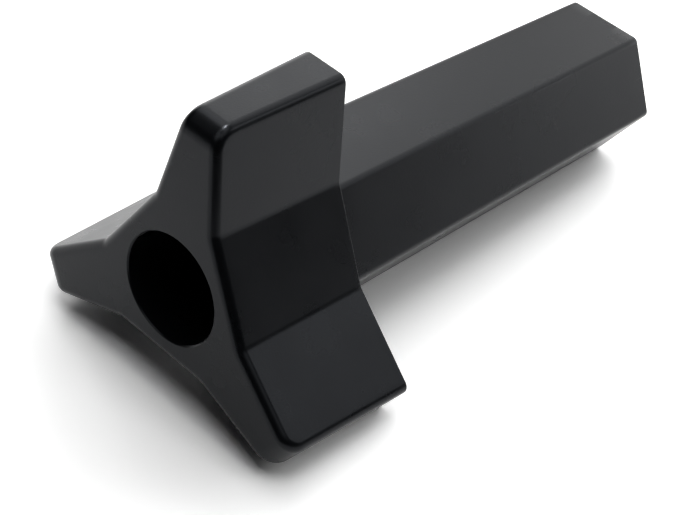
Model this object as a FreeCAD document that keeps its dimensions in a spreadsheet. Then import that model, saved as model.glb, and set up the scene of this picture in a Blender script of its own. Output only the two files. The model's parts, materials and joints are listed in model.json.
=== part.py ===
import FreeCAD, Part
import os
import Sketcher

# Three-lobed clamp knob on a long hexagonal shank, moulded in one piece, with
# a knurled and threaded brass insert moulded into the end of the shank.
# It is drawn along X, from the front of the head at x = 0 to the end of the
# shank, and then laid down as it rests: on two lobes and the shank's end.
# Lengths are in millimetres and angles in degrees.

SIZES = [
    ("head_depth", 22.2),
    ("tip_reach", 26.3),
    ("tip_width", 5.9),
    ("tip_draft", 2.1),
    ("flank_angle", 10.4),
    ("valley_step", 0.26),
    ("head_draft", 2.1),
    ("tip_edge_radius", 3.2),
    ("head_edge_radius", 1.3),
    ("crease_radius", 2.5),
    ("back_edge_radius", 0.2),
    ("knob_length", 92.9),
    ("shank_flats", 22.7),
    ("shank_draft", 0.5),
    ("shank_edge_radius", 1.0),
    ("end_edge_radius", 0.3),
    ("end_disc_diameter", 17.8),
    ("end_disc_height", 0.3),
    ("bore_diameter", 15.8),
    ("bore_rim_chamfer", 0.2),
    ("web_thickness", 4.0),
    ("stud_hole_diameter", 11.0),
    ("insert_length", 16.0),
    ("insert_proud", 0.2),
    ("insert_edge_chamfer", 0.3),
    ("knurl_diameter", 14.8),
    ("knurl_depth", 0.35),
    ("knurl_teeth", 42),
    ("retaining_groove_width", 3.0),
    ("retaining_groove_diameter", 12.6),
    ("thread_diameter", 10.0),
    ("thread_pitch", 1.25),
    ("mouth_diameter", 10.2),
]

LOBES = 3
MINOR_DROP = 1.0825  # an ISO thread's minor diameter lies this many pitches below its major
CLOSE = 0.01  # how far apart two places on the knob may be and still count as one

# Sizes that follow from the ones above, as expressions on the sheet
BACK_REACH = "(Sizes.tip_reach + Sizes.head_depth * tan(Sizes.tip_draft * 1 deg))"
HEAD_FLARE = "(Sizes.head_depth * tan(Sizes.head_draft * 1 deg))"
VALLEY_DISTANCE = f"(Sizes.shank_flats / 2 + Sizes.valley_step - {HEAD_FLARE})"
BACK_WIDTH = (f"(Sizes.tip_width + 2 * {HEAD_FLARE} / cos(Sizes.flank_angle * 1 deg)"
              f" - 2 * ({BACK_REACH} - Sizes.tip_reach) * tan(Sizes.flank_angle * 1 deg))")
SHANK_LENGTH = "(Sizes.knob_length - Sizes.head_depth)"
END_HALF_FLATS = f"(Sizes.shank_flats / 2 - {SHANK_LENGTH} * tan(Sizes.shank_draft * 1 deg))"
INSERT_FACE = "(Sizes.knob_length + Sizes.end_disc_height + Sizes.insert_proud)"
SOCKET_FLOOR = f"({INSERT_FACE} - Sizes.insert_length)"
BORE_FLOOR = f"({SOCKET_FLOOR} - Sizes.web_thickness)"
GROOVE_START = f"({INSERT_FACE} - (Sizes.insert_length + Sizes.retaining_groove_width) / 2)"
GROOVE_END = f"({INSERT_FACE} - (Sizes.insert_length - Sizes.retaining_groove_width) / 2)"
THREAD_MINOR = f"(Sizes.thread_diameter - {MINOR_DROP} * Sizes.thread_pitch)"
MOUTH_CHAMFER = f"((Sizes.mouth_diameter - {THREAD_MINOR}) / 2)"


def lowest_tip(reach, width, corner):
    """How far a leaning lobe's rounded lower edge lies below the axis, at corner from its tip."""
    radius = "Sizes.head_edge_radius"
    slope = "Sizes.flank_angle * 1 deg"
    flank = f"({reach} * sin({slope}) + {width} / 2 * cos({slope}))"
    side = f"(({flank} - {radius} - ({reach} - {corner}) * sin({slope})) / cos({slope}))"
    return f"(({reach} - {corner}) / 2 + {side} * sqrt(3) / 2 + {radius})"


TIP_LOW = lowest_tip(BACK_REACH, BACK_WIDTH, "Sizes.head_edge_radius")
FRONT_LOW = lowest_tip("Sizes.tip_reach", "Sizes.tip_width", "Sizes.tip_edge_radius")
REST_TILT = f"atan(({TIP_LOW} - {END_HALF_FLATS}) / {SHANK_LENGTH})"
REST_HEIGHT = f"(Sizes.head_depth * sin({REST_TILT}) + {TIP_LOW} * cos({REST_TILT}))"
REST_CENTRE = (f"(({INSERT_FACE} * cos({REST_TILT})"
               f" + (Sizes.knurl_diameter / 2 - {FRONT_LOW} + Sizes.head_edge_radius)"
               f" * sin({REST_TILT})) / 2)")

doc = FreeCAD.newDocument("clamp_knob")
sheet = doc.addObject("Spreadsheet::Sheet", "Sizes")
for row, (alias, value) in enumerate(SIZES, start=1):
    sheet.set(f"A{row}", alias)
    sheet.set(f"B{row}", str(value))
    sheet.setAlias(f"B{row}", alias)
doc.recompute()


def size_of(expression):
    """The value that an expression of the sheet's sizes has now."""
    value = sheet.evalExpression(expression.replace("Sizes.", ""))
    return float(getattr(value, "Value", value))


def new_body(name):
    body = doc.addObject("PartDesign::Body", name)
    body.Label = name
    return body


def origin_feature(body, role):
    return next(item for item in body.Origin.OriginFeatures if item.Role == role)


def new_sketch(body, name, plane, offset=None):
    """A sketch on one of the body's own planes, moved along the plane's normal."""
    sketch = body.newObject("Sketcher::SketchObject", name)
    sketch.AttachmentSupport = [(origin_feature(body, plane), "")]
    sketch.MapMode = "FlatFace"
    if offset:
        sketch.setExpression("AttachmentOffset.Base.z", offset)
    return sketch


def draw_outline(sketch, points):
    """Straight lines through the points, closed and joined end to end."""
    count = len(points)
    corners = [FreeCAD.Vector(x, y, 0) for x, y in points]
    for index in range(count):
        sketch.addGeometry(Part.LineSegment(corners[index], corners[(index + 1) % count]), False)
    for index in range(count):
        sketch.addConstraint(Sketcher.Constraint("Coincident", index, 2, (index + 1) % count, 1))


def drive(sketch, name, kind, *where, size):
    """A dimension of the sketch that takes its value from the sheet."""
    start = size_of(size)
    if kind == "Angle":
        start = FreeCAD.Units.Quantity(start, FreeCAD.Units.Angle).getValueAs("rad").Value
    index = sketch.addConstraint(Sketcher.Constraint(kind, *where, start))
    sketch.renameConstraint(index, name)
    sketch.setExpression(f"Constraints.{name}", size)


def add_feature(body, kind, name, profile=None):
    feature = body.newObject(f"PartDesign::{kind}", name)
    if profile:
        feature.Profile = profile
    return feature


def pattern_round_axis(body, name, original, occurrences):
    """Copies of a feature, evenly spaced round the X axis."""
    pattern = body.newObject("PartDesign::PolarPattern", name)
    pattern.Originals = [original]
    pattern.Axis = (origin_feature(body, "X_Axis"), [""])
    pattern.Angle = 360
    pattern.setExpression("Occurrences", occurrences)
    body.Tip = pattern
    doc.recompute()
    return pattern


def names_of(kind, shapes, chosen):
    """Names, such as Edge3, of the shapes for which chosen is true."""
    return [f"{kind}{index}" for index, shape in enumerate(shapes, start=1) if chosen(shape)]


def round_edges(body, name, base, radius, chosen):
    """A fillet on the chosen edges of the base feature."""
    fillet = body.newObject("PartDesign::Fillet", name)
    fillet.Base = (base, names_of("Edge", base.Shape.Edges, chosen))
    fillet.setExpression("Radius", radius)
    body.Tip = fillet
    doc.recompute()
    return fillet


def lean_faces(body, name, base, neutral, outwards, angle, chosen):
    """Mould draft on the chosen faces, hinged where they cross the neutral plane."""
    draft = body.newObject("PartDesign::Draft", name)
    draft.Base = (base, names_of("Face", base.Shape.Faces, chosen))
    draft.NeutralPlane = neutral
    draft.Reversed = outwards
    draft.setExpression("Angle", angle)
    body.Tip = draft
    draft.recompute()
    doc.recompute()
    return draft


def distance_from_axis(shape):
    middle = shape.CenterOfMass
    return (middle.y ** 2 + middle.z ** 2) ** 0.5


def spans(shape, start, end):
    """Whether an edge or face runs along the knob from one place to the other."""
    places = [vertex.X for vertex in shape.Vertexes]
    return abs(min(places) - start) < CLOSE and abs(max(places) - end) < CLOSE


def draw_hub(body):
    """Triangle whose sides are the three valley floors between the lobes.

    They spread backwards and end a small step outside the shank's flats.
    """
    sketch = new_sketch(body, "hub_section", "YZ_Plane")
    valley = size_of(VALLEY_DISTANCE)
    half = valley * 3 ** 0.5
    draw_outline(sketch, [(-half, -valley), (half, -valley), (0, 2 * valley)])
    sketch.addConstraint(Sketcher.Constraint("Horizontal", 0))
    sketch.addConstraint(Sketcher.Constraint("PointOnObject", 1, 2, -2))
    sketch.addConstraint(Sketcher.Constraint("Equal", 0, 1))
    sketch.addConstraint(Sketcher.Constraint("Equal", 0, 2))
    drive(sketch, "floor", "DistanceY", 0, 1, -1, 1, size=VALLEY_DISTANCE)
    drive(sketch, "apex", "DistanceY", -1, 1, 1, 2, size=f"2 * {VALLEY_DISTANCE}")
    return sketch


def draw_lobe(body):
    """Section of the upright lobe: it narrows outwards to a flat tip."""
    sketch = new_sketch(body, "lobe_section", "YZ_Plane")
    reach = size_of("Sizes.tip_reach")
    half_tip = size_of("Sizes.tip_width / 2")
    half_root = half_tip + reach * size_of("tan(Sizes.flank_angle * 1 deg)")
    draw_outline(sketch, [(-half_root, 0), (half_root, 0), (half_tip, reach), (-half_tip, reach)])
    sketch.addConstraint(Sketcher.Constraint("PointOnObject", 0, 1, -1))
    sketch.addConstraint(Sketcher.Constraint("Symmetric", 0, 1, 0, 2, -2))
    sketch.addConstraint(Sketcher.Constraint("Symmetric", 2, 2, 2, 1, -2))
    drive(sketch, "reach", "DistanceY", -1, 1, 1, 2, size="Sizes.tip_reach")
    drive(sketch, "width", "DistanceX", 2, 2, 2, 1, size="Sizes.tip_width")
    drive(sketch, "flank", "Angle", -2, 1, 1, 1, size="Sizes.flank_angle * 1 deg")
    return sketch


def draw_hexagon(body, name, flats, offset):
    """Regular hexagon with a flat on top."""
    sketch = new_sketch(body, name, "YZ_Plane", offset)
    half = size_of(flats) / 2
    corner = 2 * half / 3 ** 0.5
    draw_outline(sketch, [(corner / 2, half), (-corner / 2, half), (-corner, 0),
                          (-corner / 2, -half), (corner / 2, -half), (corner, 0)])
    centre = FreeCAD.Vector(0, 0, 0)
    circle = sketch.addGeometry(Part.Circle(centre, FreeCAD.Vector(0, 0, 1), corner), True)
    sketch.addConstraint(Sketcher.Constraint("Coincident", circle, 3, -1, 1))
    for side in range(6):
        sketch.addConstraint(Sketcher.Constraint("PointOnObject", side, 1, circle))
    for side in range(1, 6):
        sketch.addConstraint(Sketcher.Constraint("Equal", 0, side))
    sketch.addConstraint(Sketcher.Constraint("Horizontal", 0))
    drive(sketch, "half_flats", "DistanceY", -1, 1, 0, 1, size=f"{flats} / 2")
    return sketch


def draw_section(body, name, points):
    """Half section beside the X axis; each point is a pair of expressions, x and radius."""
    sketch = new_sketch(body, name, "XZ_Plane")
    draw_outline(sketch, [(size_of(x), size_of(radius)) for x, radius in points])
    for index, (x, radius) in enumerate(points):
        if radius == "0":
            sketch.addConstraint(Sketcher.Constraint("PointOnObject", index, 1, -1))
        else:
            drive(sketch, f"radius_{index}", "DistanceY", -1, 1, index, 1, size=radius)
        if x == "0":
            sketch.addConstraint(Sketcher.Constraint("PointOnObject", index, 1, -2))
        else:
            drive(sketch, f"x_{index}", "DistanceX", -1, 1, index, 1, size=x)
    return sketch


def turn(body, kind, name, sketch):
    """A solid or a cut of revolution about the X axis."""
    feature = add_feature(body, kind, name, sketch)
    feature.ReferenceAxis = (sketch, ["H_Axis"])
    feature.Angle = 360
    return feature


def make_moulding():
    """Head, shank and bore of the knob, with the shank's end still whole."""
    body = new_body("moulding")
    hub = add_feature(body, "Pad", "hub", draw_hub(body))
    hub.setExpression("Length", "Sizes.head_depth")
    lobe = add_feature(body, "Pad", "lobe", draw_lobe(body))
    lobe.setExpression("Length", "Sizes.head_depth")
    lobes = pattern_round_axis(body, "lobes", lobe, str(LOBES))

    depth = size_of("Sizes.head_depth")
    reach = size_of("Sizes.tip_reach")
    valley = size_of(VALLEY_DISTANCE)
    midway = (reach + valley) / 2
    front = (origin_feature(body, "YZ_Plane"), [""])
    tips = lean_faces(
        body, "leaning_tips", lobes, front, True, "Sizes.tip_draft",
        lambda face: spans(face, 0, depth) and distance_from_axis(face) > reach - CLOSE)
    head = lean_faces(
        body, "leaning_sides", tips, front, True, "Sizes.head_draft",
        lambda face: spans(face, 0, depth) and distance_from_axis(face) < reach - CLOSE)
    creases = round_edges(
        body, "creases", head, "Sizes.crease_radius",
        lambda edge: spans(edge, 0, depth) and distance_from_axis(edge) < midway)
    tip_corners = round_edges(
        body, "tip_corners", creases, "Sizes.tip_edge_radius",
        lambda edge: spans(edge, 0, 0) and distance_from_axis(edge) > reach - CLOSE)
    # The edge in front of a valley runs on smoothly along both lobes to the head's back
    front_and_tips = round_edges(
        body, "front_and_tips", tip_corners, "Sizes.head_edge_radius",
        lambda edge: spans(edge, 0, 0) and distance_from_axis(edge) < valley + CLOSE)
    back_edges = round_edges(
        body, "back_edges", front_and_tips, "Sizes.back_edge_radius",
        lambda edge: spans(edge, depth, depth))

    hexagon = draw_hexagon(body, "shank_section", "Sizes.shank_flats", "Sizes.head_depth")
    shank = add_feature(body, "Pad", "shank", hexagon)
    shank.setExpression("Length", SHANK_LENGTH)
    doc.recompute()
    end = size_of("Sizes.knob_length")
    back = (shank, names_of("Face", shank.Shape.Faces, lambda face: spans(face, depth, depth))[:1])
    leaning_shank = lean_faces(
        body, "leaning_shank", shank, back, False, "Sizes.shank_draft",
        lambda face: spans(face, depth, end))
    shank_edges = round_edges(
        body, "shank_edges", leaning_shank, "Sizes.shank_edge_radius",
        lambda edge: spans(edge, depth, end))
    end_edges = round_edges(
        body, "end_edges", shank_edges, "Sizes.end_edge_radius",
        lambda edge: spans(edge, end, end))

    disc_sketch = new_sketch(body, "end_disc_outline", "YZ_Plane", "Sizes.knob_length")
    centre = FreeCAD.Vector(0, 0, 0)
    radius = size_of("Sizes.end_disc_diameter / 2")
    disc_sketch.addGeometry(Part.Circle(centre, FreeCAD.Vector(0, 0, 1), radius), False)
    disc_sketch.addConstraint(Sketcher.Constraint("Coincident", 0, 3, -1, 1))
    drive(disc_sketch, "disc", "Diameter", 0, size="Sizes.end_disc_diameter")
    disc = add_feature(body, "Pad", "end_disc", disc_sketch)
    disc.setExpression("Length", "Sizes.end_disc_height")

    bore_radius = "Sizes.bore_diameter / 2"
    stud_radius = "Sizes.stud_hole_diameter / 2"
    bore_section = draw_section(body, "bore_section", [
        ("0", "0"),
        ("0", f"{bore_radius} + Sizes.bore_rim_chamfer"),
        ("Sizes.bore_rim_chamfer", bore_radius),
        (BORE_FLOOR, bore_radius),
        (BORE_FLOOR, stud_radius),
        (SOCKET_FLOOR, stud_radius),
        (SOCKET_FLOOR, "0"),
    ])
    turn(body, "Groove", "bore", bore_section)
    doc.recompute()
    return body


def make_insert_blank():
    """The insert before drilling: a turned bar, knurled on both sides of a groove."""
    body = new_body("insert_blank")
    crest = "Sizes.knurl_diameter / 2"
    chamfer = "Sizes.insert_edge_chamfer"
    waist = "Sizes.retaining_groove_diameter / 2"
    section = draw_section(body, "insert_section", [
        (SOCKET_FLOOR, "0"),
        (SOCKET_FLOOR, f"{crest} - {chamfer}"),
        (f"{SOCKET_FLOOR} + {chamfer}", crest),
        (GROOVE_START, crest),
        (GROOVE_START, waist),
        (GROOVE_END, waist),
        (GROOVE_END, crest),
        (INSERT_FACE, crest),
        (INSERT_FACE, "0"),
    ])
    turn(body, "Revolution", "turned_bar", section)

    notch = new_sketch(body, "knurl_notch", "YZ_Plane", INSERT_FACE)
    root_radius = size_of(f"{crest} - Sizes.knurl_depth")
    height = size_of("2 * Sizes.knurl_depth")
    draw_outline(notch, [(0, root_radius), (height, root_radius + height),
                         (-height, root_radius + height)])
    notch.addConstraint(Sketcher.Constraint("Symmetric", 0, 2, 1, 2, -2))
    notch.addConstraint(Sketcher.Constraint("PointOnObject", 0, 1, -2))
    notch.addConstraint(Sketcher.Constraint("Perpendicular", 0, 2))
    drive(notch, "root", "DistanceY", -1, 1, 0, 1, size=f"{crest} - Sizes.knurl_depth")
    drive(notch, "opening", "DistanceY", -1, 1, 0, 2, size=f"{crest} + Sizes.knurl_depth")
    cut = add_feature(body, "Pocket", "notch", notch)
    cut.setExpression("Length", "Sizes.insert_length")
    doc.recompute()
    pattern_round_axis(body, "knurl", cut, "Sizes.knurl_teeth")
    return body


def make_brass_insert(blank):
    """The blank drilled to the thread's minor diameter and chamfered at both mouths."""
    body = new_body("brass_insert")
    body.BaseFeature = blank
    doc.recompute()
    minor = f"{THREAD_MINOR} / 2"
    mouth = "Sizes.mouth_diameter / 2"
    section = draw_section(body, "thread_section", [
        (SOCKET_FLOOR, "0"),
        (SOCKET_FLOOR, mouth),
        (f"{SOCKET_FLOOR} + {MOUTH_CHAMFER}", minor),
        (f"{INSERT_FACE} - {MOUTH_CHAMFER}", minor),
        (INSERT_FACE, mouth),
        (INSERT_FACE, "0"),
    ])
    turn(body, "Groove", "thread_bore", section)
    doc.recompute()
    return body


def make_knob_body(moulding, blank):
    """The moulding with the socket that the insert leaves in it."""
    body = doc.addObject("Part::Cut", "knob_body")
    body.Label = "knob_body"
    body.Base = moulding
    body.Tool = blank
    doc.recompute()
    return body


def lay_down(part):
    """Turn the part about Y until two lobes and the shank's end touch the floor."""
    part.Placement = FreeCAD.Placement(
        FreeCAD.Vector(0, 0, 0), FreeCAD.Rotation(FreeCAD.Vector(0, 1, 0), 1))
    part.setExpression("Placement.Rotation.Angle", REST_TILT)
    part.setExpression("Placement.Base.x", f"-{REST_CENTRE}")
    part.setExpression("Placement.Base.z", REST_HEIGHT)


def check(part):
    shape = part.Shape
    if shape.isNull() or not shape.isValid():
        raise RuntimeError(f"{part.Label} has no valid shape")
    return shape


moulding = make_moulding()
insert_blank = make_insert_blank()
brass_insert = make_brass_insert(insert_blank)
knob_body = make_knob_body(moulding, insert_blank)
parts = [knob_body, brass_insert]
for part in parts:
    lay_down(part)
doc.recompute()

for item in doc.Objects:
    if "Invalid" in item.State or "Error" in item.State:
        raise RuntimeError(f"{item.Label} was not built: {item.State}")
shapes = {part.Label: check(part) for part in parts}

os.makedirs("parts", exist_ok=True)
for label, shape in shapes.items():
    shape.exportStep(f"parts/{label}.step")
    box = shape.BoundBox
    print(f"{label}: {shape.Volume:.0f} mm3, x {box.XMin:.2f} to {box.XMax:.2f},"
          f" y {box.YMin:.2f} to {box.YMax:.2f}, z {box.ZMin:.2f} to {box.ZMax:.2f}")
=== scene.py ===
import json
import math

import bmesh
import bpy
import numpy as np
from bpy.props import (
    FloatProperty,
    FloatVectorProperty,
    IntProperty,
    PointerProperty,
    StringProperty,
)
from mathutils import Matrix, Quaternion, Vector


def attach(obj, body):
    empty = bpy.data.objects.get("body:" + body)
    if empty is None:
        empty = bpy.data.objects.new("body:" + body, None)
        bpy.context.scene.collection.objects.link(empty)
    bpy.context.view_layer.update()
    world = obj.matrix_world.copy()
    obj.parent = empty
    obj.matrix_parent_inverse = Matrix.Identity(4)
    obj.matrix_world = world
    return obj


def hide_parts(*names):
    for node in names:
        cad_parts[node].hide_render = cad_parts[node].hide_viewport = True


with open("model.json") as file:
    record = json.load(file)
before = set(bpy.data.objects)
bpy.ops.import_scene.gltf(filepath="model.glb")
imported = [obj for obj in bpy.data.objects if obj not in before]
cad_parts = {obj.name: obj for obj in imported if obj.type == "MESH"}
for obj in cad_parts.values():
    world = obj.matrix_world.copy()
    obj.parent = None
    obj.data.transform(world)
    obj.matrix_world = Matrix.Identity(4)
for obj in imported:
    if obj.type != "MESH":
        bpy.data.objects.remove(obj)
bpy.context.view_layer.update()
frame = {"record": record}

bl_info = {
    "name": "Clamp knob",
    "version": (1, 0, 0),
    "blender": (4, 5, 0),
    "location": "View3D > Sidebar > Clamp knob",
    "description": "Three-lobed clamp knob with a long hexagonal shank and a threaded brass insert",
    "category": "Object",
}

# The knob lies tilted on the floor. Its own frame runs along the bore, from the
# front of the head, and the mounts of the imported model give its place.
MOUNTS = {mount["name"]: mount for mount in frame["record"]["mounts"]}
BODY = "root"
MM = 0.001
LOBES = 3
SIXTH = math.pi / LOBES  # from the middle of a lobe to the middle of a valley
WELD = 2e-7  # metres between points that are one point
SHARP = math.radians(38)  # an edge that turns by more is drawn sharp
PAINTED_HIGHLIGHT_EDGE = 2  # which edge of the shank's end gets a painted highlight, a thin paler line, from the first corner on


def mount_radius(name):
    """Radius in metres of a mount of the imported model."""
    return MOUNTS[name]["dims"]["r_mm"] * MM


def mount_length(name):
    """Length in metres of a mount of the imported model."""
    return MOUNTS[name]["dims"]["length_mm"] * MM


def angle_property(name, description, default):
    return FloatProperty(
        name=name, description=description, default=math.radians(default),
        unit="ROTATION", subtype="ANGLE")


def length_property(name, description, default_mm):
    return FloatProperty(
        name=name, description=description, default=default_mm * MM,
        unit="LENGTH", subtype="DISTANCE", precision=5)


def colour_property(name, description, default):
    return StringProperty(name=name, description=description, default=default)


class KnobSizes(bpy.types.PropertyGroup):
    """Sizes of the moulded body, as the construction has them"""
    head_depth: length_property("Head depth", "From the front of the head to its back", 22.2)
    tip_reach: length_property("Tip reach", "From the axis to a lobe's tip, in front", 26.3)
    tip_width: length_property("Tip width", "Across a lobe's tip, in front", 5.9)
    tip_draft: angle_property("Tip draft", "How much the tips spread backwards", 2.1)
    flank_angle: angle_property("Flank angle", "How much a lobe narrows on each side", 10.4)
    valley_step: length_property("Valley step", "From a shank flat out to the valley's end", 0.26)
    head_draft: angle_property("Head draft", "How much flanks and valleys spread backwards", 2.1)
    tip_radius: length_property("Tip radius", "Rounding between the head's front and a tip", 3.2)
    edge_radius: length_property("Edge radius", "Rounding of all the head's other edges", 1.3)
    crease_radius: length_property("Crease radius", "Hollow between a flank and a valley", 2.5)
    back_radius: length_property("Back radius", "Rounding of the head's back edges", 0.2)
    knob_length: length_property("Knob length", "From the front of the head to the shank's end", 92.9)
    shank_flats: length_property("Shank flats", "Across the hexagon at the head", 22.7)
    shank_draft: angle_property("Shank draft", "How much the shank narrows on each side", 0.5)
    shank_radius: length_property("Shank radius", "Rounding of the hexagon's edges", 1.0)
    end_radius: length_property("End radius", "Rounding of the shank's end", 0.3)
    disc_diameter: length_property("Disc diameter", "Raised disc on the shank's end", 17.8)
    disc_height: length_property("Disc height", "How far that disc stands out", 0.3)
    disc_radius: length_property("Disc radius", "Rounding of that disc's edge", 0.07)
    rim_chamfer: length_property("Rim chamfer", "Chamfer at the mouth of the bore", 0.2)
    scuff_reach: length_property("Scuff reach", "How far wear spreads from an end corner", 2.0)


class InsertSizes(bpy.types.PropertyGroup):
    """Sizes of the brass insert"""
    length: length_property("Length", "From end to end", 16.0)
    proud: length_property("Proud", "How far it stands out of the disc", 0.2)
    edge_chamfer: length_property("Edge chamfer", "Chamfer at its inner end", 0.3)
    face_radius: length_property("Face radius", "Rounding of the edges of its outer face", 0.04)
    knurl_diameter: length_property("Knurl diameter", "Over the crests of the knurl", 14.8)
    knurl_depth: length_property("Knurl depth", "Depth of the knurl's notches", 0.35)
    knurl_teeth: IntProperty(name="Knurl teeth", description="Number of notches", default=42)
    groove_width: length_property("Groove width", "Groove that holds the insert in", 3.0)
    groove_diameter: length_property("Groove diameter", "Bottom of that groove", 12.6)
    thread_diameter: length_property("Thread diameter", "Major diameter of the thread", 10.0)
    thread_pitch: length_property("Thread pitch", "From turn to turn", 1.25)
    mouth_diameter: length_property("Mouth diameter", "Wide end of the mouths' chamfer", 10.2)


class Finishes(bpy.types.PropertyGroup):
    """Colours, as sRGB hex, and grain of the two materials"""
    plastic_colour: colour_property("Plastic", "Colour of the moulded plastic", "#07080A")
    sheen_colour: colour_property("Sheen", "Tint of what the plastic mirrors", "#EFF5FF")
    plastic_grain: length_property("Grain", "Width of the mould texture's grains", 0.3)
    # The same pale grey paints the corners' scuffs and a highlight line along one edge of the end
    scuff_and_highlight_colour: colour_property("Scuff", "Colour of the plastic where it is scuffed", "#505456")
    brass_colour: colour_property("Brass", "Colour of the machined brass", "#CAB486")
    tool_mark: length_property("Tool mark", "From mark to mark on the turned face", 0.12)


class StageSizes(bpy.types.PropertyGroup):
    """Floor, lights and camera"""
    floor_colour: colour_property("Floor", "Colour of the floor", "#F8F8F8")
    floor_seen: FloatProperty(
        name="Floor seen", description="Brightness of the floor as seen, beside a white of 1",
        default=1.48)
    floor_mirrored: FloatProperty(
        name="Floor mirrored", description="Brightness of the floor as mirrored, beside the same",
        default=1.45)
    floor_width: length_property("Floor width", "Side of the square floor", 4000)
    card_colour: colour_property("Card", "Colour of the black card", "#050505")
    card_near: length_property("Card near", "From the middle of the floor to the card", 105)
    card_start: angle_property("Card start", "Azimuth of the card's first side", -168)
    card_end: angle_property("Card end", "Azimuth of its other side", -82)
    room_colour: colour_property("Room", "Colour of the room's even light", "#0A0A0A")
    aim: FloatVectorProperty(
        name="Aim", description="Point at the middle of the picture",
        default=(-0.0262, -0.01075, 0.02), unit="LENGTH", subtype="TRANSLATION")
    camera_distance: length_property("Camera distance", "From that point to the camera", 228.65)
    camera_azimuth: angle_property("Camera azimuth", "Direction of view, from +X towards +Y", 36.05)
    camera_fall: angle_property("Camera fall", "How steeply the camera looks down", 41.99)
    camera_roll: angle_property("Camera roll", "Turn of the camera about its view", 10.77)
    camera_lens: FloatProperty(
        name="Camera lens", description="Focal length on a 36 mm sensor", default=92.52,
        unit="CAMERA")


# Formulas for the surfaces


def valley_distance(sizes):
    """From the axis to a valley floor, at the front: behind, it ends a step outside the flats."""
    flare = sizes.head_depth * math.tan(sizes.head_draft)
    return sizes.shank_flats / 2 + sizes.valley_step - flare


def shank_half_flats(sizes, depth):
    """From the axis to a flat of the shank: it falls with depth times the draft's tangent."""
    return sizes.shank_flats / 2 - (depth - sizes.head_depth) * math.tan(sizes.shank_draft)


def between(start, end, count):
    """Values from start to end, evenly spaced, with both ends."""
    return np.linspace(start, end, count)


def inner_shares(count):
    """Shares of a straight side: one close to each end, so that its shading stays flat."""
    return np.concatenate([[SIDE_MARGIN], between(0, 1, count)[1:-1], [1 - SIDE_MARGIN]])


def along(start, end, shares):
    """Points on the line from start to end; start and end are rows x 2."""
    return start[:, None, :] + (end - start)[:, None, :] * shares[None, :, None]


def arc(centre, radius, angles):
    """Points of a circle, at angles from the lobe's middle line towards its side."""
    turned = np.stack([np.sin(angles), np.cos(angles)], axis=-1)
    return centre[:, None, :] + radius[:, None, None] * turned[None, :, :]


def crossing(angle_a, distance_a, angle_b, distance_b):
    """Where two lines cross, each given by its normal's angle and its distance from the axis."""
    det = math.sin(angle_a) * math.cos(angle_b) - math.cos(angle_a) * math.sin(angle_b)
    across = (distance_a * math.cos(angle_b) - distance_b * math.cos(angle_a)) / det
    outward = (distance_b * math.sin(angle_a) - distance_a * math.sin(angle_b)) / det
    return np.stack([across, outward], axis=-1)


# How finely the skin is divided: shares of the straight sides, steps of the arcs, and rows
SIDE_MARGIN = 0.03  # from the end of a side to its nearest column, as a share of the side
TIP_SHARES = inner_shares(5)
FLANK_SHARES = inner_shares(9)
VALLEY_SHARES = inner_shares(5)
ARC_STEPS = 9
CORNER_STEPS = 8
BEND_STEPS = 8
FRONT_ROWS = 13
EDGE_ROWS = 6
FINE_ROWS = 4  # on the smallest roundings
SHANK_ROWS = 30
FAN_SHARES = between(0, 1, BEND_STEPS + len(FLANK_SHARES) + 1)[1:-1]


def blended(start, end, shares):
    """Unit directions on the way from start to end, turned by shares of the angle between."""
    angle = np.arccos(np.clip(np.sum(start * end, axis=-1, keepdims=True), -1, 1))
    shares = np.asarray(shares)[..., None]
    return (np.sin((1 - shares) * angle) * start + np.sin(shares * angle) * end) / np.sin(angle)


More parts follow.
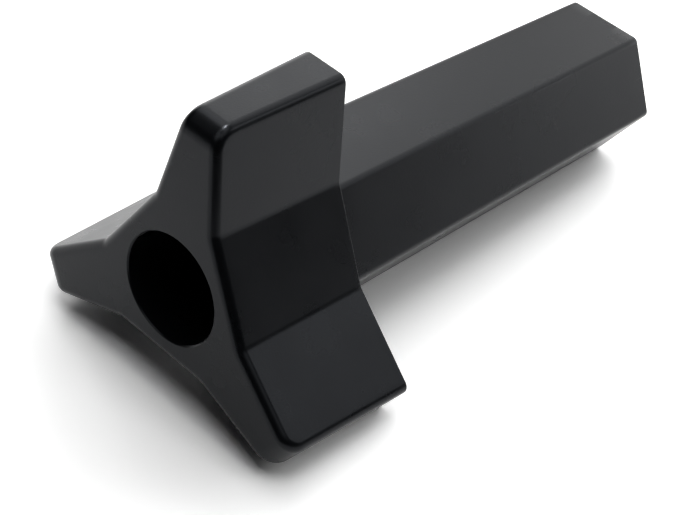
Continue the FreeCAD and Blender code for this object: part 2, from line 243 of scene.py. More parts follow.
def lobe_front(sizes, steps):
    """A sixth of the head's rounded front, from the middle of a lobe to the middle of a valley.

    Where the head's edges are rounded, its skin is the path of a ball of the edge radius
    that rolls along the inside of the edge: each point is a centre of the ball plus its
    radius times a direction. The centres run along the flank, crease and valley, one
    radius behind the front, and at the lobe's end along the arc that is left of the tip
    radius. Rows lead from the front, where the direction is straight forwards, to the
    sides. Over the lobe's corner the columns fan out: the first ones end on the tip's edge
    and the others where the ball leaves the flank.
    """
    ball, bend = sizes.edge_radius, sizes.tip_radius
    flank = math.pi / 2 - sizes.flank_angle
    draft, tip_draft = sizes.head_draft, sizes.tip_draft
    start = (sizes.tip_width / 2 * math.cos(sizes.flank_angle)
             + sizes.tip_reach * math.sin(sizes.flank_angle))
    bend_middle = sizes.tip_reach + bend * (math.tan(tip_draft) - 1 / math.cos(tip_draft))

    def side_normal(angle):
        angle = np.asarray(angle, float)
        return np.stack([
            np.full_like(angle, -math.sin(draft)), np.sin(angle) * math.cos(draft),
            np.cos(angle) * math.cos(draft)], axis=-1)

    def centre(bent):
        """Centre of the ball at the lobe's corner, when the tip's arc has turned by bent."""
        depth = bend - (bend - ball) * np.cos(bent)
        outward = bend_middle + (bend - ball) * np.sin(bent)
        side = start + depth * math.tan(draft) - ball / math.cos(draft)
        across = (side - outward * math.sin(sizes.flank_angle)) / math.cos(sizes.flank_angle)
        return np.stack([depth, across, outward], axis=-1)

    def forward(bent):
        return np.stack([-np.cos(bent), np.zeros_like(bent), np.sin(bent)], axis=-1)

    shares = between(0, 1, steps)
    full_bend = math.pi / 2 - tip_draft
    bent = full_bend * shares
    edge = centre(bent) + ball * forward(bent)
    tip = edge[:, None, :] * np.ones((1, 1 + len(TIP_SHARES), 1))
    tip[..., 1] *= np.append(0, TIP_SHARES)

    fan = np.concatenate([
        np.stack([np.ones(CORNER_STEPS), between(0, 1, CORNER_STEPS)], axis=-1),
        np.stack([between(1, 0, BEND_STEPS)[1:], np.ones(BEND_STEPS - 1)], axis=-1)])
    bent = full_bend * shares[:, None] * fan[None, :, 0]
    turned = blended(forward(bent), side_normal(flank), shares[:, None] * fan[None, :, 1])
    corner = centre(bent) + ball * turned

    def floor(angle, distance):
        return angle, distance + ball * (math.tan(draft) - 1 / math.cos(draft))

    hollow = sizes.crease_radius + ball
    flank_line, valley_line = floor(flank, start), floor(SIXTH, valley_distance(sizes))
    crease = crossing(
        flank_line[0], flank_line[1] + hollow, valley_line[0], valley_line[1] + hollow)
    angles = between(flank, SIXTH, ARC_STEPS)
    crease_path = crease - hollow * np.stack([np.sin(angles), np.cos(angles)], axis=-1)
    valley_middle = valley_line[1] * np.array([math.sin(SIXTH), math.cos(SIXTH)])
    path = np.concatenate([
        along(centre(np.zeros(1))[:, 1:], crease_path[:1], FLANK_SHARES)[0],
        crease_path,
        along(crease_path[-1:], valley_middle[None], VALLEY_SHARES)[0],
        valley_middle[None]])
    normals = side_normal(np.concatenate([
        np.full(len(FLANK_SHARES), flank), angles, np.full(len(VALLEY_SHARES) + 1, SIXTH)]))
    centres = np.concatenate([np.full((len(path), 1), ball), path], axis=-1)
    ahead = np.array([-1.0, 0, 0]) * np.ones_like(normals)
    sides = centres + ball * blended(ahead, normals, shares[:, None] * np.ones(len(path)))
    return np.concatenate([tip, corner, sides], axis=1)


def lobe_section(sizes, depth, inset):
    """A sixth of the head's section behind the rounded front, one depth a row.

    The tip, flank and valley are straight lines that move outwards with depth times the
    tangent of their draft. The tip's corner is an arc of the edge radius and the crease an
    arc of the crease radius. inset pulls the whole section in where the back is rounded.
    """
    flank = math.pi / 2 - sizes.flank_angle
    start = (sizes.tip_width / 2 * math.cos(sizes.flank_angle)
             + sizes.tip_reach * math.sin(sizes.flank_angle))
    reach = sizes.tip_reach + depth * math.tan(sizes.tip_draft) - inset
    side = start + depth * math.tan(sizes.head_draft) - inset
    floor = valley_distance(sizes) + depth * math.tan(sizes.head_draft) - inset
    corner = sizes.edge_radius - inset
    hollow = sizes.crease_radius + inset

    corner_centre = crossing(0, reach - corner, flank, side - corner)
    crease_centre = crossing(flank, side + hollow, SIXTH, floor + hollow)
    tip_arc = arc(corner_centre, corner, between(0, flank, CORNER_STEPS))
    crease_arc = arc(crease_centre, -hollow, between(flank, SIXTH, ARC_STEPS))
    tip_middle = np.stack([np.zeros_like(reach), reach], axis=-1)
    valley_middle = np.stack([floor * math.sin(SIXTH), floor * math.cos(SIXTH)], axis=-1)
    return np.concatenate([
        tip_middle[:, None, :],
        along(tip_middle, tip_arc[:, 0], TIP_SHARES),
        tip_arc,
        along(tip_arc[:, -1], crease_arc[:, 0], FAN_SHARES),
        crease_arc,
        along(crease_arc[:, -1], valley_middle, VALLEY_SHARES),
        valley_middle[:, None, :],
    ], axis=1)


def hexagon_section(half_flats, corner, lobe_sixth):
    """A sixth of the shank's section, with as many points as lobe_section's.

    The points of a lobe's tip and flank lie along one flat, at the same share of its half
    width; those of the crease lie on the corner's arc; those of the valley on the next flat.
    """
    count = 1 + len(TIP_SHARES) + CORNER_STEPS + len(FAN_SHARES)
    across = lobe_sixth[:count, 0] / lobe_sixth[count, 0]
    centre = crossing(0, half_flats - corner, SIXTH, half_flats - corner)
    corner_arc = arc(centre, corner, between(0, SIXTH, ARC_STEPS))
    top = np.stack([np.zeros_like(half_flats), half_flats], axis=-1)
    next_top = np.stack(
        [half_flats * math.sin(SIXTH), half_flats * math.cos(SIXTH)], axis=-1)
    return np.concatenate([
        along(top, corner_arc[:, 0], across),
        corner_arc,
        along(corner_arc[:, -1], next_top, VALLEY_SHARES),
        next_top[:, None, :],
    ], axis=1)


def circle_section(radius, angles):
    """A sixth of a circle for each radius, at the angles of the hexagon's points."""
    turned = np.stack([np.sin(angles), np.cos(angles)], axis=-1)
    return np.asarray(radius)[:, None, None] * turned[None, :, :]


def whole(sixth):
    """All the way round: each sixth and its mirror image, turned to the three lobes.

    Points are depth, across and outward; the last point of each sixth is the next one's
    first, and is left out.
    """
    mirrored = (sixth * np.array([1, -1, 1]))[:, ::-1]
    parts = []
    for lobe in range(LOBES):
        for part, turn in ((sixth, lobe), (mirrored, lobe + 1)):
            angle = 2 * SIXTH * turn
            across = part[..., 1] * math.cos(angle) + part[..., 2] * math.sin(angle)
            outward = part[..., 2] * math.cos(angle) - part[..., 1] * math.sin(angle)
            parts.append(np.stack([part[..., 0], across, outward], axis=-1)[:, :-1])
    return np.concatenate(parts, axis=1)


def stations(depth, sections):
    """Points (depth, across, outward) of sections, one depth a row."""
    depth = np.broadcast_to(np.asarray(depth, float)[:, None], sections.shape[:2])
    return np.concatenate([depth[..., None], sections], axis=-1)


def ring(start, end, rows):
    """Rows that lead from one row of points to another in straight lines."""
    shares = between(0, 1, rows)[:, None, None]
    return start[None] * (1 - shares) + end[None] * shares


def knob_place():
    """Front centre of the knob and its three directions: along, across and outward at lobe 0."""
    bore = MOUNTS["head_bore"]
    axis = -np.array(bore["axis"], float)
    axis /= np.linalg.norm(axis)
    across = np.array([0.0, 1.0, 0.0])
    outward = np.cross(axis, across)
    rim = bpy.context.scene.knob_sizes.rim_chamfer
    return np.array(bore["pos_m"], float) - rim * axis, axis, across, outward


def in_place(points):
    """Points of the knob's own frame (depth, across, outward) in the frame of the model."""
    origin, axis, across, outward = knob_place()
    return origin + points @ np.stack([axis, across, outward])


def grid_mesh(name, points, closed_rows):
    """A mesh of quads over rows x columns of points, welded where points coincide.

    The first and last row are joined, and so are the columns if closed_rows is true;
    otherwise the last column lies on the first one and the weld joins them.
    """
    rows, columns = points.shape[:2]
    index = np.arange(rows * columns).reshape(rows, columns)
    below = np.roll(index, -1, axis=0)
    if closed_rows:
        right, below_right = np.roll(index, -1, axis=1), np.roll(below, -1, axis=1)
    else:
        right, below_right = index[:, 1:], below[:, 1:]
        index, below = index[:, :-1], below[:, :-1]
    quads = np.stack([index, right, below_right, below], axis=-1).reshape(-1, 4)

    mesh = bpy.data.meshes.new(name)
    mesh.from_pydata(in_place(points.reshape(-1, 3)).tolist(), [], quads.tolist())
    work = bmesh.new()
    work.from_mesh(mesh)
    bmesh.ops.remove_doubles(work, verts=work.verts, dist=WELD)
    bmesh.ops.dissolve_degenerate(work, edges=work.edges, dist=WELD)
    if work.calc_volume(signed=True) < 0:
        bmesh.ops.reverse_faces(work, faces=work.faces)
    if any(len(edge.link_faces) != 2 for edge in work.edges):
        raise RuntimeError(f"{name} is not closed")
    work.to_mesh(mesh)
    work.free()
    mesh.shade_smooth()
    mesh.set_sharp_from_angle(angle=SHARP)
    return mesh


def add_piece(name, mesh, node):
    """The piece as an object that stands for its node of the construction."""
    piece = bpy.data.objects.new(name, mesh)
    bpy.context.scene.collection.objects.link(piece)
    weights = piece.modifiers.new("even shading", "WEIGHTED_NORMAL")
    weights.keep_sharp = True
    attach(piece, BODY)
    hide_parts(node)
    return piece


# Moulded body


def body_points(sizes, insert):
    """The body's skin as one closed band, from the rim of the bore over the head, along
    the shank, across its end, and back through the socket and the bore."""
    back, depth = sizes.back_radius, sizes.head_depth
    front = lobe_front(sizes, FRONT_ROWS)
    turn = between(0, math.pi / 2, EDGE_ROWS)
    back_depth = depth - back + back * np.sin(turn)
    edge = stations(back_depth, lobe_section(sizes, back_depth, back * (1 - np.cos(turn))))

    lobe_sixth = edge[-1, :, 1:]
    end = sizes.knob_length

    shank_depth = np.concatenate([
        [depth, depth + back], between(depth, end - sizes.end_radius, SHANK_ROWS)[1:]])
    shank = stations(shank_depth, hexagon_section(
        shank_half_flats(sizes, shank_depth),
        np.full_like(shank_depth, sizes.shank_radius), lobe_sixth))
    angles = np.arctan2(shank[0, :, 1], shank[0, :, 2])

    end_depth = end - sizes.end_radius * (1 - np.sin(turn))
    lost = sizes.end_radius * (1 - np.cos(turn))
    end_edge = stations(end_depth, hexagon_section(
        shank_half_flats(sizes, end_depth) - lost, sizes.shank_radius - lost, lobe_sixth))

    def circle(at, size):
        return stations(np.array([at]), circle_section([size], angles))[0]

    disc = sizes.disc_diameter / 2
    disc_top = end + sizes.disc_height
    turn = between(0, math.pi / 2, FINE_ROWS)
    disc_edge = stations(
        disc_top - sizes.disc_radius * (1 - np.sin(turn)),
        circle_section(disc - sizes.disc_radius * (1 - np.cos(turn)), angles))

    bore = mount_radius("head_bore")
    stud = mount_radius("stud_hole")
    rim = sizes.rim_chamfer
    bore_floor = rim + mount_length("head_bore")
    socket_floor = bore_floor + mount_length("stud_hole")
    socket = insert.knurl_diameter / 2 - insert.knurl_depth - sizes.disc_radius
    mouth = circle(0, bore + rim)
    return np.concatenate([whole(part) for part in [
        ring(mouth, front[0], rows=8),
        front,
        ring(front[-1], edge[0], rows=20),
        edge,
        ring(edge[-1], shank[0], rows=6),
        shank,
        end_edge,
        ring(end_edge[-1], circle(end, disc), rows=5),
        disc_edge,
        ring(disc_edge[-1], circle(disc_top, socket), rows=4),
        ring(circle(disc_top, socket), circle(socket_floor, socket), rows=8),
        ring(circle(socket_floor, socket), circle(socket_floor, stud), rows=3),
        ring(circle(socket_floor, stud), circle(bore_floor, stud), rows=3),
        ring(circle(bore_floor, stud), circle(bore_floor, bore), rows=3),
        ring(circle(bore_floor, bore), circle(rim, bore), rows=24),
    ]])


def mark_scuffs_and_highlight(mesh, sizes):
    """The wear at each point, and a painted highlight, from 0 to 1, kept in a point attribute.

    It falls in a straight line from 1 at each corner of the shank's end to 0 at the reach set
    for scuffs, and faster from one edge, along which the same pale grey is a painted highlight.
    """
    origin, axis, across, outward = knob_place()
    places = np.empty(3 * len(mesh.vertices))
    mesh.vertices.foreach_get("co", places)
    own = (places.reshape(-1, 3) - origin) @ np.stack([axis, across, outward]).T
    angles = SIXTH * (np.arange(2 * LOBES) + 0.5)
    rounding = sizes.shank_radius
    half_flats = shank_half_flats(sizes, sizes.knob_length)
    reach = (half_flats - rounding) / math.cos(SIXTH / 2) + rounding
    corners = np.stack([
        np.full_like(angles, sizes.knob_length), reach * np.sin(angles),
        reach * np.cos(angles)], axis=-1)
    nearest = np.linalg.norm(own[:, None] - corners, axis=-1).min(axis=1)
    # A painted highlight: a thin paler line along one edge of the shank's end
    start, edge = corners[PAINTED_HIGHLIGHT_EDGE - 1], corners[PAINTED_HIGHLIGHT_EDGE] - corners[PAINTED_HIGHLIGHT_EDGE - 1]
    share = np.clip((own - start) @ edge / (edge @ edge), 0, 1)
    from_edge = np.linalg.norm(own - start - share[:, None] * edge, axis=-1)
    highlight_reach = 3 * sizes.end_radius
    # One value for the corners' wear and for the painted highlight along that edge
    wear = np.maximum(1 - nearest / sizes.scuff_reach, 1 - from_edge / highlight_reach)
    scuff = mesh.attributes.new("scuff", "FLOAT", "POINT")
    scuff.data.foreach_set("value", np.clip(wear, 0, 1))


# Threaded insert

TOOTH_COLUMNS = 10


def knurl_columns(insert):
    """Angles of the knurl's columns, and the radius at each.

    A tooth is half of an ellipse, as deep as the notch between two teeth: with t from
    minus to plus a right angle, the angle moves with sin t and the radius with cos t.
    """
    step = 2 * math.pi / insert.knurl_teeth
    turn = between(-math.pi / 2, math.pi / 2, TOOTH_COLUMNS + 1)[:-1]
    middles = (np.arange(insert.knurl_teeth)[:, None] + 0.5) * step
    angles = (middles + step / 2 * np.sin(turn)).ravel()
    drop = insert.knurl_depth * (1 - np.cos(turn))
    radius = insert.knurl_diameter / 2 - np.tile(drop, insert.knurl_teeth)
    return np.append(angles, 2 * math.pi), np.append(radius, radius[0])


def thread_radius(turns, insert):
    """Radius of the thread after so many turns: flat crests a quarter of the pitch wide,
    flat roots an eighth wide, and straight flanks at 60 degrees between them."""
    minor = mount_radius("insert_thread")
    major = insert.thread_diameter / 2
    pitch = insert.thread_pitch
    from_root = np.abs(turns % 1 - 0.5) * pitch
    return np.clip(major - (from_root - pitch / 16) * math.sqrt(3), minor, major)


def insert_points(insert, sizes):
    """The insert's skin: inner face, knurled outside with its groove, outer face, thread.

    Outside, the radius is the smaller of the turned profile's and the knurl's. Inside, each
    row follows the thread's helix, so that it stays on one edge of the thread.
    """
    angles, knurl = knurl_columns(insert)
    face = sizes.knob_length + sizes.disc_height + insert.proud
    floor = face - insert.length
    crest = insert.knurl_diameter / 2
    waist = insert.groove_diameter / 2
    mouth = insert.mouth_diameter / 2
    groove_start = face - (insert.length + insert.groove_width) / 2
    groove_end = groove_start + insert.groove_width
    chamfer, edge = insert.edge_chamfer, insert.face_radius
    beside = 4 * edge  # a row so far from an edge keeps the shading of the face flat
    turn = between(0, math.pi / 2, FINE_ROWS)
    outline = np.array([
        (floor, mouth), (floor, crest - chamfer - edge), (floor, crest - chamfer),
        (floor + chamfer, crest), (groove_start - edge, crest), (groove_start, crest - edge),
        (groove_start, waist), (groove_end, waist), (groove_end, crest - edge),
        (groove_end + edge, crest), (face - beside, crest),
        *zip(face - edge * (1 - np.sin(turn)), crest - edge * (1 - np.cos(turn))),
        (face, crest - beside), (face, (crest + mouth) / 2), (face, mouth + edge),
    ])
    # What the rounding at the outer face takes off, it takes off the knurl too
    depth = np.broadcast_to(outline[:, :1], (len(outline), len(angles)))
    lost = np.maximum(0, crest - outline[:, 1:]) * (outline[:, :1] > face - 2 * edge)
    radius = np.minimum(outline[:, 1:], knurl - np.where(lost < 2 * edge, lost, 0))

    # Rows at these shares of the pitch from the middle of a root: from the root's edge,
    # up the flank, to the crest's edge
    pitch = insert.thread_pitch
    flank = np.array([1 / 16, 0.11, 0.2, 0.29, 3 / 8])
    marks = np.concatenate([0.5 - flank[::-1], 0.5 + flank])
    first, last = math.floor(floor / pitch) - 1, math.ceil(face / pitch) + 2
    turns = (np.arange(first, last)[:, None] + marks).ravel()[::-1, None]
    thread_depth = np.clip((turns - angles / (2 * math.pi)) * pitch, floor, face)
    helix = thread_depth / pitch + angles / (2 * math.pi)
    # The mouths' chamfers, at 45 degrees
    cone = mouth - np.minimum(face - thread_depth, thread_depth - floor)
    thread = np.maximum(thread_radius(helix, insert), cone)

    depth = np.concatenate([depth, thread_depth])
    radius = np.concatenate([radius, thread])
    return np.stack([depth, radius * np.sin(angles), radius * np.cos(angles)], axis=-1)


# Materials

NOISE_RANGE = {"From Min": 0.3, "From Max": 0.7}  # where nearly all values of a noise lie
PLASTIC_ROUGHNESS = {"To Min": 0.26, "To Max": 0.31}
PLASTIC_MIRRORING = 0.16  # a third of what a smooth clear plastic mirrors
PATCH_WIDTH = 30  # grains across a patch of one roughness
SCUFF_AND_HIGHLIGHT_RANGE = {"From Min": 1.26, "From Max": 1.44}  # wear, scratches and a painted highlight line, from clean to full pale grey
BRASS_ROUGHNESS = {"To Min": 0.24, "To Max": 0.36}
STAIN_WIDTH = 12.5  # tool marks across a stain
# A Mix node's two colours and its result have no names of their own
MIX_FIRST, MIX_SECOND, MIX_RESULT = 6, 7, 2


def linear(text):
    """An sRGB hex colour as linear values, with an alpha of 1."""
    values = [int(text[place:place + 2], 16) / 255 for place in (1, 3, 5)]
    straight = [v / 12.92 if v <= 0.04045 else ((v + 0.055) / 1.055) ** 2.4 for v in values]
    return (*straight, 1.0)


def grey(brightness):
    """A neutral colour as linear values, with an alpha of 1."""
    return (brightness, brightness, brightness, 1.0)


def add_node(material, kind, settings=None, inputs=None):
    """A node with its settings; an input is a value, or a node and its output to link from."""
    tree = material.node_tree
    node = tree.nodes.new(kind)
    for name, value in (settings or {}).items():
        setattr(node, name, value)
    for name, value in (inputs or {}).items():
        if isinstance(value, tuple) and isinstance(value[0], bpy.types.Node):
            tree.links.new(value[0].outputs[value[1]], node.inputs[name])
        else:
            node.inputs[name].default_value = value
    return node


def new_material(name):
    """An empty material, its output node, and its Object coordinates."""
    material = bpy.data.materials.new(name)
    material.use_nodes = True
    material.node_tree.nodes.clear()
    output = add_node(material, "ShaderNodeOutputMaterial")
    place = add_node(material, "ShaderNodeTexCoord")
    return material, output, place


def plastic_material(finishes):
    """Glass-filled nylon, injection moulded in a spark-eroded mould: near black, satin,
    with a fine even grain that breaks highlights on the rounded edges into sparkles. The
    grain is drawn about three times as coarse as it is, so that it shows. The corners of
    the shank's end are scuffed to a paler grey, and the same grey is a painted highlight
    along one edge of the end.
    """
    material, output, place = new_material("glass_filled_nylon_satin_black")
    grain = add_node(
        material, "ShaderNodeTexNoise", {"noise_dimensions": "3D"},
        {"Vector": (place, "Object"), "Scale": 1 / finishes.plastic_grain,
         "Detail": 2.0, "Roughness": 0.55})
    patches = add_node(
        material, "ShaderNodeTexNoise", {"noise_dimensions": "3D"},
        {"Vector": (place, "Object"), "Scale": 1 / (PATCH_WIDTH * finishes.plastic_grain),
         "Detail": 3.0, "Roughness": 0.5})
    roughness = add_node(
        material, "ShaderNodeMapRange", {},
        {"Value": (patches, "Fac"), **NOISE_RANGE, **PLASTIC_ROUGHNESS})
    bump = add_node(
        material, "ShaderNodeBump", {},
        {"Height": (grain, "Fac"), "Strength": 0.04, "Distance": finishes.plastic_grain})
    # This attribute holds the corners' wear and the painted highlight along one edge of the end
    wear = add_node(material, "ShaderNodeAttribute", {"attribute_name": "scuff"})
    scratches = add_node(
        material, "ShaderNodeTexNoise", {"noise_dimensions": "3D"},
        {"Vector": (place, "Object"), "Scale": 1 / finishes.plastic_grain,
         "Detail": 5.0, "Roughness": 0.7})
    worn_and_highlit = add_node(
        material, "ShaderNodeMath", {"operation": "ADD"},
        {0: (wear, "Fac"), 1: (scratches, "Fac")})
    scuffed = add_node(
        material, "ShaderNodeMapRange", {},
        {"Value": (worn_and_highlit, "Value"), **SCUFF_AND_HIGHLIGHT_RANGE})
    colour = add_node(
        material, "ShaderNodeMix", {"data_type": "RGBA"},
        {"Factor": (scuffed, "Result"), MIX_FIRST: linear(finishes.plastic_colour),
         MIX_SECOND: linear(finishes.scuff_and_highlight_colour)})
    shader = add_node(
        material, "ShaderNodeBsdfPrincipled", {},
        {"Base Color": (colour, MIX_RESULT), "IOR": 1.5,
         "Specular IOR Level": PLASTIC_MIRRORING,
         "Specular Tint": linear(finishes.sheen_colour),
         "Roughness": (roughness, "Result"), "Normal": (bump, "Normal")})
    material.node_tree.links.new(shader.outputs["BSDF"], output.inputs["Surface"])
    return material


def brass_material(finishes):
    """Free-cutting brass, turned and knurled: pale gold with a fine satin face."""
    material, output, place = new_material("turned_brass")
    marks = add_node(
        material, "ShaderNodeTexNoise", {"noise_dimensions": "3D"},
        {"Vector": (place, "Object"), "Scale": 1 / finishes.tool_mark,
         "Detail": 3.0, "Roughness": 0.6})
    stain = add_node(
        material, "ShaderNodeTexNoise", {"noise_dimensions": "3D"},
        {"Vector": (place, "Object"), "Scale": 1 / (STAIN_WIDTH * finishes.tool_mark),
         "Detail": 4.0, "Roughness": 0.6})
    roughness = add_node(
        material, "ShaderNodeMapRange", {},
        {"Value": (stain, "Fac"), **NOISE_RANGE, **BRASS_ROUGHNESS})
    bump = add_node(
        material, "ShaderNodeBump", {},
        {"Height": (marks, "Fac"), "Strength": 0.1, "Distance": finishes.tool_mark})
    shader = add_node(
        material, "ShaderNodeBsdfPrincipled", {},
        {"Base Color": linear(finishes.brass_colour), "Metallic": 1.0,
         "Roughness": (roughness, "Result"), "Normal": (bump, "Normal")})
    material.node_tree.links.new(shader.outputs["BSDF"], output.inputs["Surface"])
    return material


def floor_material(stage):
    """Matt white studio paper, printed so light that only the shadow on it is left.

    Rays from the camera, and those that the object mirrors, see the paper lighter than it
    is. The light that it throws back on other matt surfaces stays that of white paper.
    """
    material, output, _ = new_material("white_paper")
    path = add_node(material, "ShaderNodeLightPath")
    glossy_or_clear = add_node(
        material, "ShaderNodeMath", {"operation": "MAXIMUM"},
        {0: (path, "Is Glossy Ray"), 1: (path, "Is Transmission Ray")})
    mirrored = add_node(
        material, "ShaderNodeMix", {"data_type": "RGBA"},
        {"Factor": (glossy_or_clear, "Value"), MIX_FIRST: linear(stage.floor_colour),
         MIX_SECOND: grey(stage.floor_mirrored)})
    seen = add_node(
        material, "ShaderNodeMix", {"data_type": "RGBA"},
        {"Factor": (path, "Is Camera Ray"), MIX_FIRST: (mirrored, MIX_RESULT),
         MIX_SECOND: grey(stage.floor_seen)})
    shader = add_node(material, "ShaderNodeBsdfDiffuse", {}, {"Color": (seen, MIX_RESULT)})
    material.node_tree.links.new(shader.outputs["BSDF"], output.inputs["Surface"])
    return material


def card_material(stage):
    """Matt black card."""
    material, output, _ = new_material("black_card")
    shader = add_node(
        material, "ShaderNodeBsdfDiffuse", {}, {"Color": linear(stage.card_colour)})
    material.node_tree.links.new(shader.outputs["BSDF"], output.inputs["Surface"])
    return material


# Stage

LAMP_DISTANCE = 1.6  # metres, from the object

# Name, azimuth and height above the horizon in degrees, width and height in metres, and
# how bright the lamp looks beside a white of 1
SOFTBOXES = [
    ("low_back", 58, 9, 0.90, 0.50, 3.0),
    ("low_middle", 12, 9, 0.90, 0.50, 2.2),
    ("low_right", -26, 9, 0.86, 0.50, 2.8),
    ("back", 45, 28, 0.75, 0.56, 3.5),
    ("middle", 0, 28, 1.50, 0.56, 1.9),
    ("right", -45, 33, 0.75, 0.42, 2.8),
    ("high_back", 70, 48, 0.75, 0.56, 2.4),
    ("high_middle", 10, 48, 1.50, 0.56, 2.4),
    ("overhead_back", 60, 74, 0.63, 0.80, 3.0),
    ("overhead_right", -72, 72, 0.63, 0.80, 2.4),
]
# A lamp overhead that keeps the shadow close to the object, and that nothing mirrors
SHADOW_FILL = ("shadow_fill", -155, 77, 0.60, 0.60, 4.2)
# Lamps that only show where the object mirrors them: the first four draw the sides that
# face away from the others, and the small one is the glint on the lobe's corner
MIRRORED = [
    ("overhead_front", 144, 72, 0.63, 0.80, 1.3),
    ("side_front", 172, 52, 1.10, 0.80, 1.3),
    ("side_corner", -142, 55, 0.85, 0.62, 1.2),
    ("side_right", -98, 50, 0.90, 0.80, 1.0),
    ("glint", 40, 76, 0.30, 0.30, 80.0),
]

CARD_COLUMNS = 25
CARD_RISE = 0.0005  # metres above the floor


def direction(azimuth, rise):
    """Unit vector at an azimuth from +X towards +Y and a rise above the horizon."""
    return Vector((
        math.cos(azimuth) * math.cos(rise), math.sin(azimuth) * math.cos(rise),
        math.sin(rise)))


def add_softbox(name, azimuth, rise, width, height, brightness):
    """A rectangular lamp that faces the object: its power is brightness times pi times area."""
    lamp = bpy.data.lights.new(name, "AREA")
    lamp.shape = "RECTANGLE"
    lamp.size, lamp.size_y = width, height
    lamp.energy = brightness * math.pi * width * height
    holder = bpy.data.objects.new(name, lamp)
    away = direction(math.radians(azimuth), math.radians(rise))
    holder.location = away * LAMP_DISTANCE
    holder.rotation_mode = "QUATERNION"
    holder.rotation_quaternion = away.to_track_quat("Z", "Y")
    holder.visible_camera = False
    bpy.context.scene.collection.objects.link(holder)
    return holder


def add_floor(stage):
    """A square sheet of white paper."""
    half = stage.floor_width / 2
    corners = [(-half, -half, 0), (half, -half, 0), (half, half, 0), (-half, half, 0)]
    mesh = bpy.data.meshes.new("floor")
    mesh.from_pydata(corners, [], [(0, 1, 2, 3)])
    floor = bpy.data.objects.new("floor", mesh)
    floor.data.materials.append(floor_material(stage))
    bpy.context.scene.collection.objects.link(floor)
    return floor


def add_black_card(stage):
    """A black card on the floor between the object and the camera, just out of the picture.

    Only the object mirrors it: it gives the rounded edges that face the camera their dark
    lines. It is a sector of a ring, and neither lights nor shades anything.
    """
    angles = between(stage.card_start, stage.card_end, CARD_COLUMNS)
    rim = np.stack([np.cos(angles), np.sin(angles), np.full_like(angles, CARD_RISE)], axis=-1)
    near = rim * [stage.card_near, stage.card_near, 1]
    far = rim * [stage.floor_width / 2, stage.floor_width / 2, 1]
    count = len(angles)
    faces = [(k, count + k, count + k + 1, k + 1) for k in range(count - 1)]
    mesh = bpy.data.meshes.new("black_card")
    mesh.from_pydata(np.concatenate([near, far]).tolist(), [], faces)
    card = bpy.data.objects.new("black_card", mesh)
    card.data.materials.append(card_material(stage))
    for kind in ("camera", "diffuse", "transmission", "shadow", "volume_scatter"):
        setattr(card, f"visible_{kind}", False)
    bpy.context.scene.collection.objects.link(card)
    return card


def add_room_light(stage):
    """The room's faint even light."""
    world = bpy.data.worlds.new("room")
    world.use_nodes = True
    world.node_tree.nodes["Background"].inputs["Color"].default_value = linear(
        stage.room_colour)
    bpy.context.scene.world = world


def add_camera(stage):
    """The camera, placed and turned as the photograph's was."""
    camera = bpy.data.cameras.new("camera")
    camera.lens = stage.camera_lens
    camera.sensor_width = 36
    camera.clip_start, camera.clip_end = 0.01, 20
    holder = bpy.data.objects.new("camera", camera)
    view = direction(stage.camera_azimuth, -stage.camera_fall)
    holder.location = Vector(stage.aim) - view * stage.camera_distance
    holder.rotation_mode = "QUATERNION"
    roll = Quaternion((0, 0, 1), stage.camera_roll)
    holder.rotation_quaternion = view.to_track_quat("-Z", "Y") @ roll
    bpy.context.scene.collection.objects.link(holder)
    bpy.context.scene.camera = holder


# Operators and panel


class CLAMPKNOB_OT_body(bpy.types.Operator):
    """Make the moulded body: head, shank and bore"""
    bl_idname = "clampknob.body"
    bl_label = "Moulded body"

    def execute(self, context):
        scene = context.scene
        points = body_points(scene.knob_sizes, scene.insert_sizes)
        mesh = grid_mesh("moulded_body", points, True)
        mark_scuffs_and_highlight(mesh, scene.knob_sizes)
        piece = add_piece("moulded_body", mesh, "knob_body")
        piece.data.materials.append(plastic_material(scene.knob_finishes))
        return {"FINISHED"}


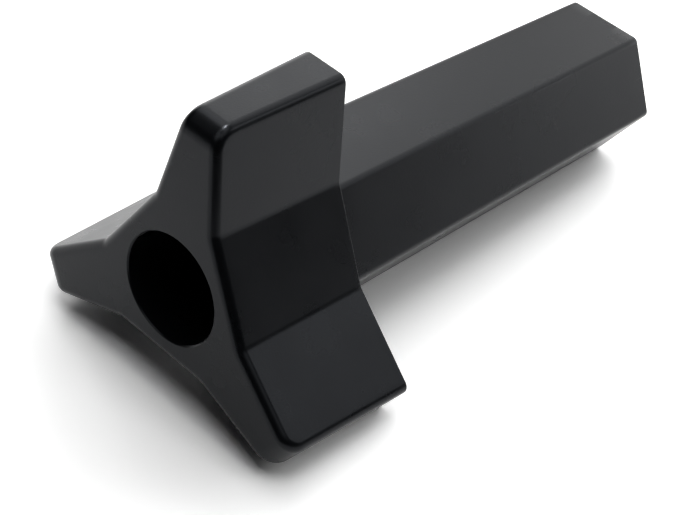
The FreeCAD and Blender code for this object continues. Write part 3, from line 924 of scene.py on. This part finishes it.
class CLAMPKNOB_OT_insert(bpy.types.Operator):
    """Make the brass insert, with its knurl and its thread"""
    bl_idname = "clampknob.insert"
    bl_label = "Threaded insert"

    def execute(self, context):
        scene = context.scene
        points = insert_points(scene.insert_sizes, scene.knob_sizes)
        mesh = grid_mesh("threaded_insert", points, False)
        piece = add_piece("threaded_insert", mesh, "brass_insert")
        piece.data.materials.append(brass_material(scene.knob_finishes))
        return {"FINISHED"}


class CLAMPKNOB_OT_stage(bpy.types.Operator):
    """Make the floor, the lights and the camera"""
    bl_idname = "clampknob.stage"
    bl_label = "Stage"

    def execute(self, context):
        stage = context.scene.stage_sizes
        add_floor(stage)
        add_black_card(stage)
        add_room_light(stage)
        for softbox in SOFTBOXES:
            add_softbox(*softbox)
        add_softbox(*SHADOW_FILL).visible_glossy = False
        for softbox in MIRRORED:
            add_softbox(*softbox).visible_diffuse = False
        add_camera(stage)
        context.scene.view_settings.view_transform = "Standard"
        return {"FINISHED"}


class CLAMPKNOB_PT_panel(bpy.types.Panel):
    """Buttons that make the knob's pieces, and their sizes"""
    bl_idname = "CLAMPKNOB_PT_panel"
    bl_label = "Clamp knob"
    bl_space_type = "VIEW_3D"
    bl_region_type = "UI"
    bl_category = "Clamp knob"

    def draw(self, context):
        layout = self.layout
        for operator in OPERATORS:
            layout.operator(operator.bl_idname)
        for group in GROUPS:
            box = layout.box()
            settings = getattr(context.scene, group)
            for name in settings.__annotations__:
                box.prop(settings, name)


OPERATORS = [CLAMPKNOB_OT_body, CLAMPKNOB_OT_insert, CLAMPKNOB_OT_stage]
GROUPS = {
    "knob_sizes": KnobSizes,
    "insert_sizes": InsertSizes,
    "knob_finishes": Finishes,
    "stage_sizes": StageSizes,
}
CLASSES = [*GROUPS.values(), *OPERATORS, CLAMPKNOB_PT_panel]


def register():
    for one in CLASSES:
        bpy.utils.register_class(one)
    for name, group in GROUPS.items():
        setattr(bpy.types.Scene, name, PointerProperty(type=group))


def unregister():
    for name in GROUPS:
        delattr(bpy.types.Scene, name)
    for one in reversed(CLASSES):
        bpy.utils.unregister_class(one)


def main():
    register()
    bpy.ops.clampknob.stage()
    bpy.ops.clampknob.body()
    bpy.ops.clampknob.insert()


if __name__ == "__main__":
    main()
